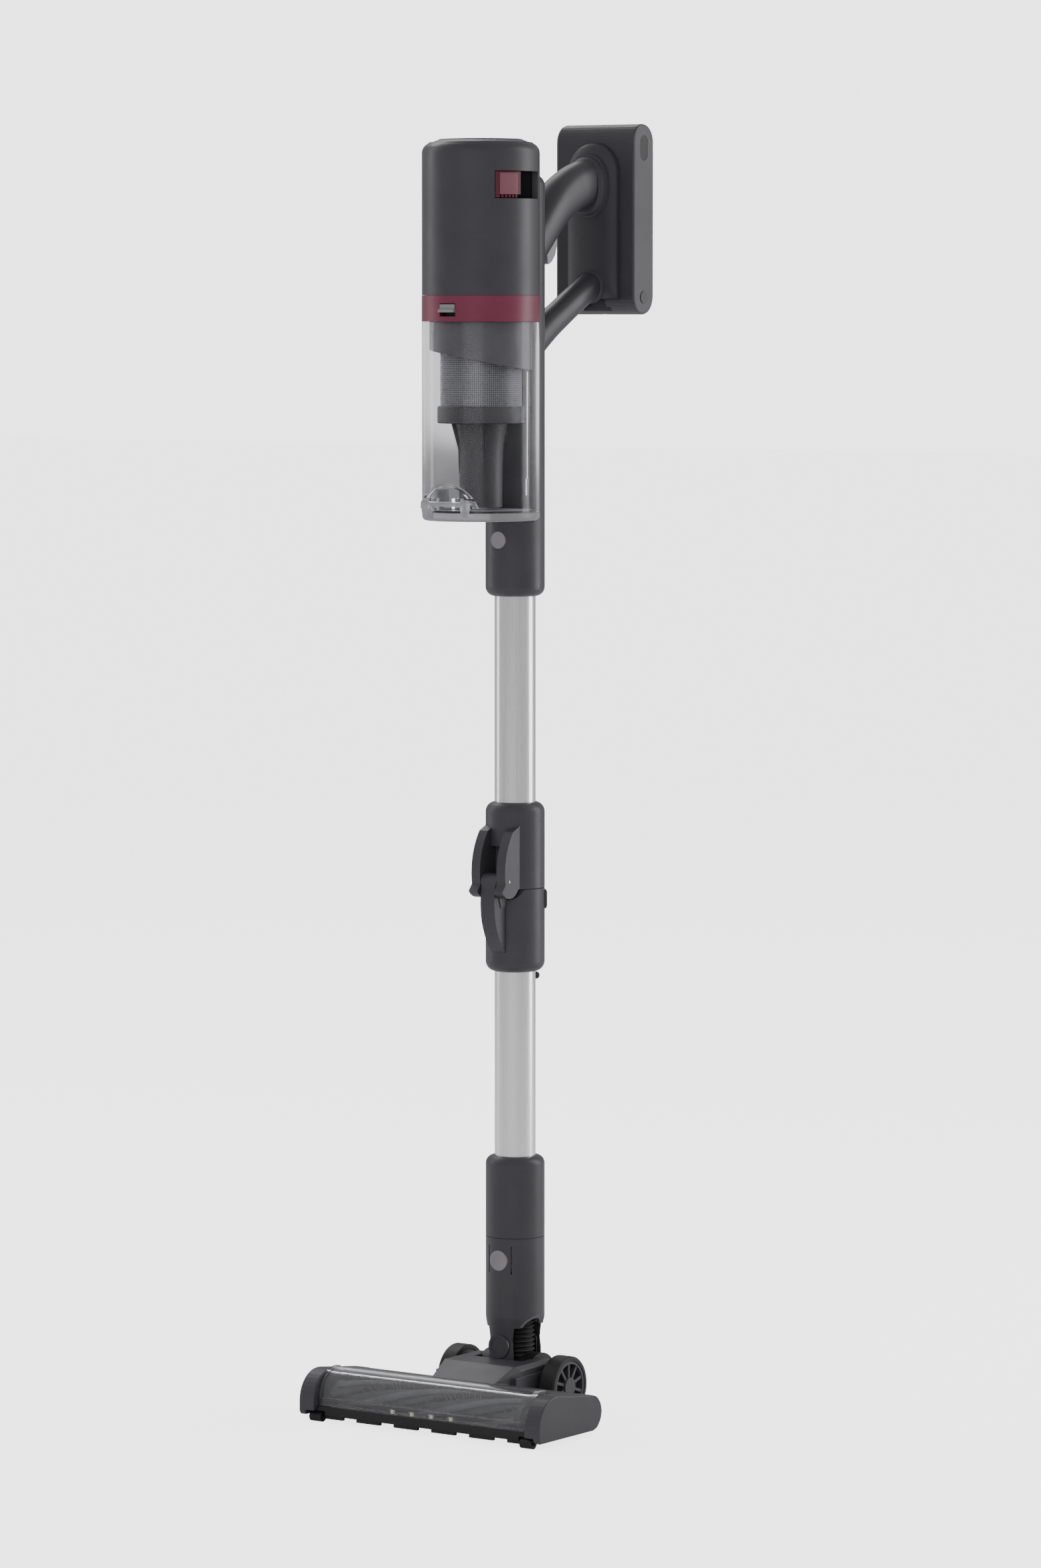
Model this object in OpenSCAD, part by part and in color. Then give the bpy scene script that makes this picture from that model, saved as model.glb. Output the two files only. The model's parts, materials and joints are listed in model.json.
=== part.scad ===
// Cordless stick vacuum: floor head, swivel neck, folding wand, motor unit, dust bin, battery grip.
// The wand's axis is the vertical line x = 0, y = wand_y. The front is -Y and the floor is z = 0.

/* [Wand] */
// Outer diameter of the two aluminium tubes
tube_d = 35.3; // [34:0.1:36]
// Wall of the tubes
tube_wall = 1.2; // [1:0.1:2]
// Outer diameter of the collars, the neck and the spine
collar_d = 51; // [50:0.5:51]
// Height of the fold between the two wand halves
split_z = 455; // [450:1:460]
// Distance of the fold's pin in front of the wand's axis
pin_y = 33.4; // [32:0.2:34]
// Height of the fold's pin above the split
pin_rise = 7.6; // [7:0.1:8]

/* [Floor head] */
// Width of the floor head
head_w = 249; // [240:1:260]
// Rear wheel diameter
wheel_d = 52.8; // [50:0.2:54]
// Number of spokes in a rear wheel
spokes = 10; // [6:1:12]
// Brush roller diameter over its core
brush_core_d = 24; // [20:1:26]
// Brush roller diameter over its bristles
brush_d = 37; // [34:1:38]
// Number of castellations under the front strip
teeth = 6; // [4:1:8]
// Height of the tilt axis
tilt_z = 28; // [27:1:29]
// Height of the swivel axis
swivel_z = 58.7; // [58:0.1:59]

/* [Motor unit and bin] */
// Diameter of the motor unit and the dust bin
bin_d = 100; // [99:1:100]
// Distance of the motor unit's axis in front of the wand's axis
motor_y = 51.5; // [51:0.5:52]
// Top of the motor unit
motor_top = 1094; // [1090:1:1100]
// Wall of the dust bin
bin_wall = 2.2; // [1.5:0.1:3]
// Openings around the screen's mesh cage
cage_bars = 12; // [8:1:16]

/* [Battery and grip] */
// Width of the battery
battery_w = 81; // [78:1:84]
// Thickness of the battery
battery_t = 32; // [30:0.5:34]
// Top of the battery
battery_top = 1111; // [1105:1:1115]
// Height of the battery
battery_h = 165; // [160:1:170]
// Stroke of the trigger
trigger_travel = 4; // [3:0.5:5]

/* [Hidden] */
$fn = 96;
wand_y = -4;
battery_y = 123;
gap = 0.1;
run = 0.06;
collar_r = collar_d / 2;
tube_r = tube_d / 2;
pin_z = split_z + pin_rise;
bin_r = bin_d / 2;
head_x = head_w / 2;
wheel_r = wheel_d / 2;
wheel_y = -5;
brush_y = -116;
brush_z = 20.5;
brush_r = brush_d / 2;
chamber_r = 21;
window_r = 23.5;
window_x0 = -114;
window_x1 = 106;
cap_t = 15.5;
elbow_z0 = 382.6;
elbow_z1 = 529;
socket_z0 = 705.7;
spine_z1 = 1065.5;
collar_z0 = 152.6;
collar_z1 = 222.7;
bin_z0 = 779.5;
bin_z1 = 940;
band_z1 = 962.3;
lid_pin_z = 787;
lid_pin_y = -motor_y - bin_r - 2.8;
lid_y = motor_y - collar_r - 1;
battery_z0 = battery_top - battery_h;
grip_y1 = battery_y - 3.4;
cell_r = 9.2;
cell_l = 65;
jack_r = 2.75;
jack_l = 9;

dark = [0.24, 0.235, 0.26];
darker = [0.12, 0.12, 0.13];
grey = [0.5, 0.5, 0.52];
maroon = [0.44, 0.18, 0.27];
smoke = [0.5, 0.5, 0.55, 0.45];
silver = [0.75, 0.75, 0.77];

// ---------- helpers ----------

// Points along an arc in the plane
function arc(c, r, a0, a1, n = 8) =
  [for (i = [0:n]) c + r * [cos(a0 + (a1 - a0) * i / n), sin(a0 + (a1 - a0) * i / n)]];

// Moves the wand's frame to the part's frame
module placed() {
  translate([0, wand_y, 0]) children();
}

// Moves to the motor unit's axis
module at_motor() {
  translate([0, -motor_y, 0]) children();
}

// Upright cylinder between two heights
module post(r, z0, z1) {
  translate([0, 0, z0]) cylinder(r = r, h = z1 - z0);
}

// Upright tube between two heights
module pipe(r_out, r_in, z0, z1) {
  difference() {
    post(r_out, z0, z1);
    post(r_in, z0 - 1, z1 + 1);
  }
}

// Upright cylinder with rounded rims
module rounded_post(r, z0, z1, bottom, top) {
  rotate_extrude()
    polygon(concat(
      [[0, z0]], arc([r - bottom, z0 + bottom], bottom, -90, 0, 6),
      arc([r - top, z1 - top], top, 0, 90, 6), [[0, z1]]));
}

// Cylinder along X, centred on x
module bar_x(r, x0, x1) {
  translate([x0, 0, 0]) rotate([0, 90, 0]) cylinder(r = r, h = x1 - x0);
}

// Cylinder along Y
module bar_y(r, y0, y1) {
  translate([0, y1, 0]) rotate([90, 0, 0]) cylinder(r = r, h = y1 - y0);
}

// Outline in Y and Z pushed along X
module slab_x(x0, x1) {
  translate([x0, 0, 0]) rotate([90, 0, 90]) linear_extrude(x1 - x0) children();
}

// Block between two corners
module block(a, b) {
  translate(a) cube(b - a);
}

// Part of a ring, from azimuth a0 to a1, counted from the front towards +X
module ring_part(r0, r1, z0, z1, a0, a1) {
  rotate([0, 0, a0 - 90]) rotate_extrude(angle = a1 - a0)
    translate([r0, z0]) square([r1 - r0, z1 - z0]);
}

// ---------- floor head ----------

// Side outline of the head's end: a full front nose and a lower rear one
module cap_outline() {
  polygon(concat(
    arc([-67, 19.8], 15.5, -80, 80, 10), arc([-121.3, 17], 25.7, 82, 180, 10),
    [[-147, 8], [-145, 5.4]]));
}

// Outline of the brush chamber, open below
module chamber_outline() {
  translate([brush_y, brush_z]) circle(chamber_r);
  translate([brush_y - 16, -2]) square([32, 20]);
}

module end_cap(side) {
  x0 = side > 0 ? head_x - cap_t : -head_x;
  color(dark) placed() difference() {
    slab_x(x0, x0 + cap_t) cap_outline();
    translate([x0 + (side > 0 ? -1 : cap_t - 8.5), brush_y, brush_z]) bar_x(5 + run, 0, 9.5);
    translate([side * (head_x - cap_t), -140.2, 0]) block([-9, -9, 0], [9, 4, 9.6]);
  }
}
module end_cap_left() { end_cap(-1); }
module end_cap_right() { end_cap(1); }

// Base under the brush and the rear duct, with the suction mouth
module sole_plate() {
  color(dark) placed() difference() {
    union() {
      block([-head_x + cap_t + gap, -136, 5], [head_x - cap_t - gap, -58, 8]);
      block([-40, -58, 5], [40, -30, 8]);
    }
    block([-104, brush_y - 15, 4], [104, brush_y + 15, 9]);
  }
}

// Raised rear cover with the chamber's back half and the saddle for the neck
module head_shell() {
  color(dark) placed() difference() {
    union() {
      slab_x(-head_x + cap_t + gap, head_x - cap_t - gap)
        polygon(concat(
          [[-62, 8.2]], arc([-67, 19.8], 15.3, 0, 82, 6), [[-113, 42.4], [-116, 8.2]]));
      hull() {
        slab_x(-40, 40) polygon([[-2, 12], [-2, 45], [-50, 45], [-56, 12]]);
        slab_x(-36.5, 36.5)
          polygon(concat([[-2, 12], [-2, 48.5]], arc([-54, 42.5], 6, 90, 60, 3), [[-60, 12]]));
        slab_x(-32, 32) polygon([[-74, 12], [-74, 39.6], [-82, 36], [-82, 12]]);
      }
      for (s = [-1, 1])
        block([s > 0 ? 27.6 : -42, -60, 12], [s > 0 ? 42 : -27.6, 14, 40]);
    }
    slab_x(-105, 105) chamber_outline();
    translate([0, brush_y, brush_z]) bar_x(window_r + 0.2, window_x0 - 2, window_x1 + 2);
    block([-head_x, brush_y - 30, 0], [head_x, brush_y, 60]);
    translate([0, 0, tilt_z]) bar_x(24.6, -27.5, 27.5);
    block([-27.5, 0, -1], [27.5, 90, 80]);
    translate([0, 0, swivel_z]) bar_y(27, -27, 60);
    translate([0, 0, tilt_z]) bar_x(4 + run, -50, 50);
    translate([0, wheel_y, wheel_r]) bar_x(3 + gap, -60, 60);
    block([-15, -96, 12], [15, -20, 32]);
    translate([0, brush_y, brush_z]) bar_x(6, -head_x, head_x);
    translate([70, -80, 22]) bar_x(14, -34, 30);
    block([84, -131, 8], [104, -62, 34]);
    block([-100, -90, 10], [-44, -60, 32]);
  }
}

// Clear curved cover over the front of the brush
module brush_window() {
  color(smoke) placed() difference() {
    union() {
      translate([0, brush_y, brush_z]) bar_x(window_r, window_x0 + 5, window_x1 - 5 + 2.8);
      translate([0, brush_y, brush_z]) bar_x(window_r + 0.9, window_x0 + 5, window_x0 + 9);
      translate([0, brush_y, brush_z]) bar_x(window_r + 0.9, window_x1 - 3, window_x1 + 2.8);
      block([window_x0 + 5, -140.4, 13.8], [window_x1 + 2.8, -134, 20.4]);
    }
    translate([0, brush_y, brush_z]) bar_x(chamber_r + 0.4, window_x0, window_x1 + 5);
    block([window_x0 - 5, -200, -20], [window_x1 + 6, -90, 13.8]);
    block([window_x0 - 5, brush_y - 20.5, -20], [window_x1 + 6, -60, 20.4]);
    block([window_x0 - 5, brush_y + 3.2, -20], [window_x1 + 6, -60, 80]);
    for (k = [0:3])
      block([-35 + 20.2 * k, -139, 13], [-29 + 20.2 * k, -130, 17.6]);
  }
}

// Dark lip along the bottom of the front with castellations under it
module front_strip() {
  pitch = 39;
  color(darker) placed() difference() {
    union() {
      block([-head_x + cap_t + gap, -142.5, 5.8], [head_x - cap_t - gap, -137.2, 13.6]);
      for (k = [0:teeth - 1])
        block([-107 + pitch * k, -141.5, 3], [-82 + pitch * k, -138.4, 6]);
    }
    for (s = [-1, 1])
      translate([s * (head_x - cap_t), 0, 0]) block([-8.4, -150, 0], [8.4, -130, 9.6]);
  }
}

// Lights behind the window's lower edge
module led_lenses() {
  color([0.85, 0.8, 0.62]) placed() for (k = [0:3])
    translate([-32 + 20.2 * k, 0, 0]) block([-1.4, -138.8, 14.2], [1.4, -136.4, 17.4]);
}

module brush_motor() {
  color(silver) placed() translate([0, -80, 22]) {
    bar_x(12.5, 40, 78);
    bar_x(13.4, 44, 74);
    bar_x(1.5, 78, 98);
  }
}

// Flat belt around the two pulleys, inside the right end
module drive_belt() {
  belt_t = 1.2;
  slack = 0.25;
  pull_y = -80;
  c = [[brush_y, brush_z, 8], [pull_y, 22, 5]];
  lean = atan2(22 - brush_z, pull_y - brush_y);
  color(darker) placed() slab_x(94.4, 99.6) difference() {
    polygon(concat(
      arc([c[1][0], c[1][1]], c[1][2] + belt_t + slack, lean - 85, lean + 85, 10),
      arc([c[0][0], c[0][1]], c[0][2] + belt_t + slack, lean + 85, lean + 275, 12)));
    polygon(concat(
      arc([c[1][0], c[1][1]], c[1][2] + slack, lean - 85, lean + 85, 10),
      arc([c[0][0], c[0][1]], c[0][2] + slack, lean + 85, lean + 275, 12)));
  }
}

// Duct from the chamber to the hose
module suction_duct() {
  color(darker) placed() difference() {
    block([-14.8, -94, 12.2], [14.8, -25.2, 31.8]);
    block([-12.8, -95, 14.2], [12.8, -20, 29.8]);
    translate([0, brush_y, brush_z]) bar_x(window_r + 0.4, -20, 20);
  }
}

// Steel stubs on which the rear wheels turn
module wheel_axles() {
  color(silver) placed() for (s = [-1, 1])
    translate([0, wheel_y, wheel_r]) bar_x(3, s > 0 ? 34.5 : -58.5, s > 0 ? 58.5 : -34.5);
}

// Steel pins on which the neck leans back
module tilt_pins() {
  color(silver) placed() for (s = [-1, 1])
    translate([0, 0, tilt_z]) bar_x(4, s > 0 ? 21 : -33, s > 0 ? 33 : -21);
}

// Spoked hub of a rear wheel, seen from outside
module wheel_hub(side) {
  color(dark) placed() translate([0, wheel_y, wheel_r]) mirror([side > 0 ? 0 : 1, 0, 0])
    difference() {
      union() {
        bar_x(8, 44.5, 61);
        bar_x(22, 46, 54);
        difference() {
          bar_x(22, 53, 60.4);
          bar_x(19.6, 55, 62);
        }
        for (k = [0:spokes - 1])
          rotate([360 / spokes * k, 0, 0]) block([53.8, -1.3, 6], [59.6, 1.3, 20.2]);
      }
      bar_x(3 + run, 43, 59);
    }
}
module wheel_hub_left() { wheel_hub(-1); }
module wheel_hub_right() { wheel_hub(1); }

module tyre(side) {
  color(darker) placed() translate([0, wheel_y, wheel_r]) mirror([side > 0 ? 0 : 1, 0, 0])
    rotate([0, 90, 0]) rotate_extrude()
      polygon([[22 + gap, 45.4], [25.4, 45.4], [wheel_r, 46.6], [wheel_r, 59.8],
               [25.4, 61], [22 + gap, 61]]);
}
module tyre_left() { tyre(-1); }
module tyre_right() { tyre(1); }

// Small roller under a front corner, with its own stub axles
module front_roller(side) {
  color(darker) placed() translate([side * (head_x - cap_t), -141, 4.2]) {
    bar_x(4.2, -6, 6);
    bar_x(1.2, -8.2, 8.2);
  }
}
module front_roller_left() { front_roller(-1); }
module front_roller_right() { front_roller(1); }

module brush_core() {
  color(grey) placed() translate([0, brush_y, brush_z]) {
    bar_x(brush_core_d / 2, -103, 93);
    bar_x(8, 93, 101);
    bar_x(5, -head_x + cap_t - 7.5, -102);
    bar_x(5, 100, head_x - cap_t + 7.5);
  }
}

// Four rows of tufts wound along the core
module brush_bristles() {
  rows = 4;
  tufts = 12;
  color(darker) placed() translate([0, brush_y, brush_z])
    for (r = [0:rows - 1])
      for (k = [0:tufts - 1])
        translate([-97 + 15.6 * k, 0, 0]) rotate([90 * r + 14 * k, 0, 0])
          block([0, -2, brush_core_d / 2 - 0.4], [14.6, 2, brush_r]);
}

module motor_pulley() {
  color(silver) placed() translate([0, -80, 22]) difference() {
    bar_x(5, 93.6, 100.4);
    bar_x(1.5 + run, 90, 98.2);
  }
}

// ---------- neck ----------

// Barrel that leans back in the head and carries the swivel's ears
module tilt_yoke() {
  color(darker) placed() difference() {
    union() {
      translate([0, 0, tilt_z]) bar_x(24, -26.8, 26.8);
      for (s = [-1, 1])
        block([-10, s > 0 ? 17.6 : -20.4, 30], [10, s > 0 ? 20.4 : -17.6, swivel_z]);
      translate([0, 0, swivel_z]) bar_y(10, -20.4, -17.6);
      translate([0, 0, swivel_z]) bar_y(10, 17.6, 20.4);
    }
    for (s = [-1, 1])
      translate([0, 0, swivel_z]) bar_y(22, s > 0 ? 20.4 : -40, s > 0 ? 40 : -20.4);
    translate([0, 0, swivel_z]) bar_y(4 + run, -30, 30);
    translate([0, 0, tilt_z]) bar_x(4 + run, -30, -19);
    translate([0, 0, tilt_z]) bar_x(4 + run, 19, 30);
    post(17.4, 34, 90);
    block([-14, -26, 16], [14, 4, 30]);
    post(13, 16, 36);
  }
}

// Ribbed hose that bends at the neck
module neck_hose() {
  ribs = 12;
  color(darker) placed() difference() {
    union() {
      post(15.4, 35, 88);
      for (k = [0:ribs])
        post(17, 36 + 4 * k, 38 + 4 * k);
    }
    post(13.6, 34, 90);
  }
}

// Neck shell: a tube above and two cheeks below that hold the swivel
module neck_tube() {
  color(dark) placed() difference() {
    union() {
      rotate_extrude() polygon([[0, 46], [24.6, 46], [24.4, 54], [23.9, 62], [24.4, 71],
                                [collar_r, 83], [collar_r, collar_z0 - gap], [0, collar_z0 - gap]]);
    }
    post(21, 44, 92);
    post(19.5, 91, 118);
    post(tube_r + run, 117, collar_z0 + 1);
    for (s = [-1, 1])
      translate([s * 38, 0, 66]) bar_y(23, -40, 40);
    translate([0, 0, swivel_z]) intersection() {
      bar_y(27.5, -20.9, 20.9);
      block([-30, -30, -30], [30, 30, 16]);
    }
    for (s = [-1, 1])
      block([s > 0 ? 19.6 : -40, -40, 40], [s > 0 ? 40 : -19.6, 40, 54]);
    translate([0, 0, swivel_z]) bar_y(10.4, -40, -24.2);
    translate([0, 0, swivel_z]) bar_y(4 + run, -40, 40);
    translate([0, 0, swivel_z]) difference() {
      bar_y(60, -40, 40);
      bar_y(21.4, -41, 41);
      block([-80, -50, 0], [80, 50, 80]);
    }
    translate([0, 0, 133.4]) bar_y(8.75 + run, -30, -10);
    block([-12, -23, 122], [12, -15, 146]);
  }
}

// Headed pins of the swivel, with the round cover seen at the front
module swivel_pins() {
  color(dark) placed() translate([0, 0, swivel_z]) {
    difference() {
      bar_y(10.3, -26, -24.3);
      rotate([0, 0, 0]) bar_y(7.4, -26.5, -25.6);
    }
    bar_y(4, -24.4, -17.8);
    bar_y(4, 17.8, 24.4);
  }
}

// Round button with a dished face and a flange that keeps it in
module round_button(r, front, travel) {
  difference() {
    union() {
      bar_y(r, front, -22.4);
      bar_y(r + 1.2, -22.6, -20.9);
    }
    translate([0, front - 38.6, 0]) sphere(r = 39.2);
  }
}
module neck_button() {
  color(grey) placed() translate([0, 0, 133.4]) round_button(8.75, -26, 2);
}

// ---------- wand ----------

module wand_collar() {
  color(dark) placed() difference() {
    rounded_post(collar_r, collar_z0, collar_z1, 0.6, 7);
    post(tube_r + run, collar_z0 - 1, collar_z1 + 1);
  }
}
module lower_tube() {
  color(silver) placed() pipe(tube_r, tube_r - tube_wall, 118.5, 418);
}
module upper_tube() {
  color(silver) placed() pipe(tube_r, tube_r - tube_wall, 492, 742);
}

// Small peg under the elbow for the parking clip
module storage_stud() {
  color(darker) placed() difference() {
    translate([0, 0, 377.6]) rotate([0, 0, -30]) {
      bar_y(3.2, tube_r - 2, tube_r + 2.4);
      translate([0, tube_r + 2.4, 0]) sphere(r = 3.2);
    }
    post(tube_r + run, 370, 385);
  }
}

// Long tongue that runs down from between the cheeks of the upper half
module tongue_outline() {
  polygon([
    [-17.4, pin_z - 6], [-pin_y - 6.9, pin_z - 1], [-42, 450], [-42.2, 443], [-41.8, 436], [-40.7, 429],
    [-38.7, 422.5], [-36, 416], [-33.9, 412], [-31.4, 408], [-28.7, 404.3], [-25.7, 401], [-20, 397.5],
    [-17.4, 397.5]]);
}
module elbow_lower() {
  color(dark) placed() difference() {
    union() {
      rounded_post(collar_r, elbow_z0, split_z - 0.15, 8.5, 0.5);
      slab_x(-7.2, 7.2) tongue_outline();
      slab_x(-8.1, 8.1)
        polygon(concat(
          [[-17.4, 440], [-33, 440]], arc([-pin_y, pin_z], 7, 200, 20, 8), [[-17.4, pin_z - 6]]));
    }
    for (s = [-1, 1])
      translate([0, -pin_y, pin_z]) bar_x(19.4, s > 0 ? 8.3 : -30, s > 0 ? 30 : -8.3);
    translate([0, -pin_y, pin_z]) bar_x(2.5 + run, -20, 20);
    post(tube_r + run, elbow_z0 - 1, 418.5);
    post(16.4, 418, pin_z + 20);
    translate([0, 0, 441]) block([-7.6, 14, -14], [7.6, 30, 9]);
  }
}
module elbow_pin() {
  color(silver) placed() translate([0, -pin_y, pin_z]) bar_x(2.5, -17.2, 17.2);
}

// Cheeks of the upper half, one each side of the slot
module cheek_outline() {
  polygon(concat(
    [[-15, 514], [-20, 509]], arc([16, 470], 57, 142, 190, 10),
    arc([-pin_y, pin_z], 14.5, 215, 330, 8), [[-15, split_z + 0.3]]));
}
module elbow_upper() {
  color(dark) placed() difference() {
    union() {
      rounded_post(collar_r, split_z + 0.15, elbow_z1, 0.5, 8.5);
      for (s = [-1, 1])
        slab_x(s > 0 ? 8.6 : -17.5, s > 0 ? 17.5 : -8.6) cheek_outline();
    }
    block([-8.6, -60, 440], [8.6, -17, 492]);
    translate([0, -pin_y, pin_z]) bar_x(2.5 + run, -17.4, 17.4);
    translate([0, -pin_y, pin_z]) bar_x(1.3, -20, 20);
    post(tube_r + run, 491.5, elbow_z1 + 1);
    post(16.4, 430, 492);
  }
}

// Push plate behind the elbow that frees the fold
module elbow_latch() {
  color(darker) placed() difference() {
    intersection() {
      block([-7.3, 15, 433], [7.3, 40, split_z - 5.4]);
      post(collar_r + 2, 400, 480);
    }
    post(18.5, 400, 480);
  }
}
module elbow_hose() {
  ribs = 8;
  color(darker) placed() difference() {
    union() {
      post(14.4, 424, 486);
      for (k = [0:ribs])
        post(15.8, 428 + 6 * k, 431 + 6 * k);
    }
    post(12.8, 420, 490);
  }
}

// ---------- motor unit ----------

// Upright duct behind the bin, ending below in the socket of the wand
module spine_duct() {
  color(dark) placed() difference() {
    rounded_post(collar_r, socket_z0, spine_z1, 8, 10);
    at_motor() post(bin_r + 0.4, bin_z0 - 10, band_z1 + gap);
    at_motor() post(bin_r + gap, band_z1, motor_top + 10);
    difference() {
      post(22.5, 768, 1040);
      at_motor() post(bin_r + 3, 760, 1050);
      block([-30, -30, 760], [30, 2, 772]);
    }
    post(tube_r + run, socket_z0 - 1, 742.5);
    post(tube_r - 1, 742, 764);
    difference() {
      post(tube_r - 1, 760, 780);
      block([-30, -30, 764], [30, 3, 790]);
    }
    block([-12, -5, 905], [12, 8, 930]);
    translate([0, 0, 754.3]) bar_y(7.3 + run, -30, -10);
    block([-10.4, -23, 744], [10.4, -15, 764.6]);
  }
}
module socket_button() {
  color(grey) placed() translate([0, 0, 754.3]) round_button(7.3, -26, 2);
}

// Slider window and its pocket, in the motor's housing
slide_a0 = 48.3;
slide_a1 = 109;
module motor_housing() {
  shoulder = motor_top - 3;
  color(dark) placed() at_motor() difference() {
    rotate_extrude()
      polygon(concat(
        [[44, band_z1 + gap], [bin_r, band_z1 + gap]], arc([bin_r - 9, shoulder - 9], 9, 0, 90, 8),
        [[36.2, shoulder], [36.2, shoulder - 4], [40, shoulder - 8], [42, shoulder - 12],
         [42, 1036], [47, 1030], [47, 970], [44, 968]]));
    ring_part(44.2, 52, 1043.4, 1066.5, slide_a0, slide_a1);
  }
}

// Round cap with exhaust slots
module top_cap() {
  slots = 24;
  color(dark) placed() at_motor() difference() {
    union() {
      rounded_post(36, motor_top - 6, motor_top, 0.2, 1.5);
      post(39, motor_top - 13, motor_top - 11.4);
      post(35, motor_top - 13, motor_top - 5);
    }
    post(31, motor_top - 14, motor_top - 2);
    for (k = [0:slots - 1])
      rotate([0, 0, 360 / slots * k]) block([14, -0.9, motor_top - 8], [29, 0.9, motor_top + 1]);
  }
}

// Window of the pointer in the coloured band
module lock_band() {
  color(maroon) placed() at_motor() difference() {
    pipe(bin_r + 0.2, 44.6, bin_z1 + 0.2, band_z1);
    block([-8, -60, 944.6], [8, -44, 955.5]);
    block([-9.7, -47.7, 943.8], [9.7, -44, 956.5]);
  }
}
module ring_latch() {
  color(grey) placed() at_motor() difference() {
    union() {
      block([-7.7, -50.6, 947.6], [7.7, -45, 955.2]);
      block([-7.7, -53, 947.6], [7.7, -50, 950.4]);
      block([-9.4, -47.4, 946.6], [9.4, -45, 956]);
    }
    post(44.4, 930, 960);
    block([-12, -45.4, 940], [12, -30, 960]);
  }
}

// Ribbed power slider that runs around the housing
module side_slider() {
  ribs = 5;
  color(maroon) placed() at_motor() difference() {
    ring_part(44.6, bin_r + 0.1, 1044, 1065.9, slide_a0 + 0.6, slide_a0 + 28.6);
    ring_part(47.5, 52, 1047.6, 1062.2, slide_a0 + 4, slide_a0 + 25.4);
    for (k = [0:ribs - 1])
      ring_part(49.2, 52, 1042, 1045.6, slide_a0 + 5 + 4 * k, slide_a0 + 7 + 4 * k);
  }
}
module suction_motor() {
  color(silver) placed() at_motor() {
    post(24, 984, 1020);
    post(46.8, 1020, 1021.5);
    post(3, 976, 984);
  }
}
module impeller() {
  blades = 9;
  color(grey) placed() at_motor() difference() {
    union() {
      post(32, 968, 970);
      post(7, 968, 982);
      for (k = [0:blades - 1])
        rotate([0, 0, 360 / blades * k]) block([5, -0.8, 969], [31, 0.8, 978]);
    }
    post(3 + run, 974, 990);
  }
}

// Skirt over the screen, with a sloping lower rim
module cyclone_shroud() {
  slope = 11.1;
  color(dark) placed() at_motor() difference() {
    union() {
      post(43.5, 886, 941);
      post(44.4, 941, 958);
    }
    post(36, 880, 938);
    post(40, 943, 960);
    post(28, 930, 950);
    translate([0, 0, 908]) rotate([0, 0, 25]) rotate([0, slope, 0])
      block([-90, -90, -60], [90, 90, 0]);
  }
}
module mesh_screen() {
  color(silver) placed() at_motor() difference() {
    pipe(34.7, 33.5, 868.9, 937.6);
    for (k = [0:cage_bars - 1])
      rotate([0, 0, 360 / cage_bars * k]) block([30, -6.6, 873], [40, 6.6, 897]);
  }
}

// Collar and tapered tube below the screen, with ribs
module cyclone_cone() {
  ribs = 4;
  color(dark) placed() at_motor() difference() {
    union() {
      post(37, 854.3, 868.8);
      translate([0, 0, 836]) cylinder(r1 = 18.3, r2 = 22.3, h = 18.4);
      post(18.3, 783, 836.2);
      for (k = [0:ribs - 1])
        rotate([0, 0, -39 + 90 * k]) rotate([90, 0, 0]) translate([0, 0, -0.9])
          linear_extrude(1.8) polygon([[15, 790], [19, 800], [19.2, 834], [24, 855], [15, 855]]);
    }
    post(16.3, 770, 836);
    translate([0, 0, 835.9]) cylinder(r1 = 16.3, r2 = 32, h = 33);
  }
}

// ---------- dust bin ----------

// What lies in front of the line where the opening lid ends
module before_lid(y) {
  intersection() {
    children();
    block([-60, -60, 700], [60, y, 1000]);
  }
}

module dust_bin() {
  color(smoke) placed() at_motor() difference() {
    union() {
      rounded_post(bin_r, 772, bin_z1, 4, 0.3);
      for (s = [-1, 1])
        block([s > 0 ? 8 : -16.2, -54.6, 781.8], [s > 0 ? 16.2 : -8, -49, 792]);
      difference() {
        translate([0, 0, 776]) bar_y(28, -51.8, -40);
        translate([0, 0, 776]) bar_y(26, -60, -30);
        block([-40, -60, 740], [40, -30, bin_z0 + 4]);
        block([-24, -60, 740], [24, -30, 792]);
        post(bin_r - 0.5, 740, 820);
      }
    }
    post(bin_r - bin_wall, bin_z0 - 0.5, 945);
    block([-60, -60, 760], [60, lid_y + 0.3, bin_z0]);
    translate([0, lid_pin_y + motor_y, lid_pin_z]) bar_x(2 + run, -30, 30);
    block([-12, 30, 905], [12, 60, 930]);
  }
}

// Sprung tab at the left that frees the lid
module lid_latch() {
  color(dark) placed() at_motor() {
    ring_part(bin_r + 0.4, bin_r + 3.6, 783, 797, -112, -96);
    ring_part(bin_r + 0.7, bin_r + 2.2, 773, 790, -106, -101);
  }
}

// Hinged floor of the bin, with its pin and knuckles at the front, straight at the back
module bin_lid() {
  color(smoke) placed() at_motor() {
    difference() {
      union() {
        before_lid(lid_y) rounded_post(bin_r, 772, 779.2, 4, 0.3);
        before_lid(lid_y - 2) post(43, 779, 781.6);
        for (s = [-1, 1])
          slab_x(s > 0 ? 16.6 : -23, s > 0 ? 23 : -16.6)
            polygon(concat(
              [[-40, 775], [-53, 775]], arc([lid_pin_y + motor_y, lid_pin_z], 3.6, 200, -20, 8),
              [[-50.6, 782], [-50.4, 779.2], [-40, 779.2]]));
      }
      before_lid(lid_y - 4) post(41, 779.4, 790);
    }
    translate([0, lid_pin_y + motor_y, lid_pin_z]) bar_x(2, -23, 23);
  }
}
module lid_seal() {
  color(darker) placed() at_motor() difference() {
    before_lid(lid_y - 0.1) post(45.4, 779.3, 781);
    before_lid(lid_y - 2 + gap) post(43 + gap, 779, 782);
  }
}

// ---------- grip and battery ----------

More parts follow.
